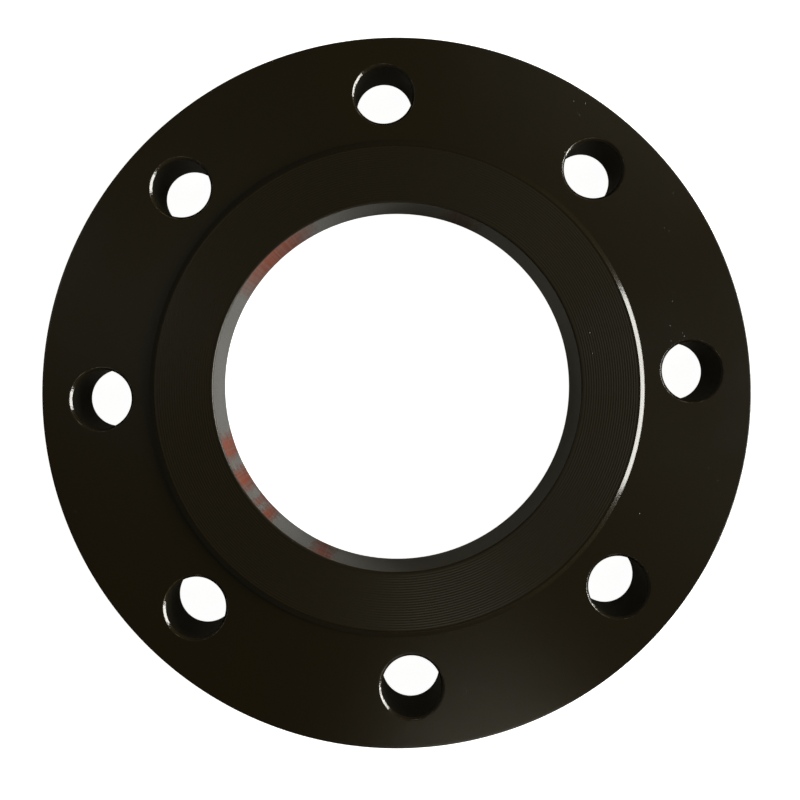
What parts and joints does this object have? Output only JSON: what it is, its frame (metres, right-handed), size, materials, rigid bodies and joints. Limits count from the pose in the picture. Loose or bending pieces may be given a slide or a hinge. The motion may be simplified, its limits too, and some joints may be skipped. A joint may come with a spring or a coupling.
{
  "type": "raised-face slip-on pipe flange",
  "caption": "Flat steel pipe flange with a raised gasket face, a plain through bore for a slip-on pipe and a circle of bolt holes.",
  "frame": {"origin": "centre of the back face, on the bore axis, where the flange rests on a bench", "axes": "+Z along the bore axis, from the back face to the raised face; +X through the centre of one bolt hole"},
  "size_m": [0.2286, 0.2286, 0.0239],
  "materials": {
    "black_enamel": "thin gloss black anti-rust paint over turned carbon steel"
  },
  "bodies": {
    "root": {"flange_ring": "black_enamel"}
  },
  "joints": []
}
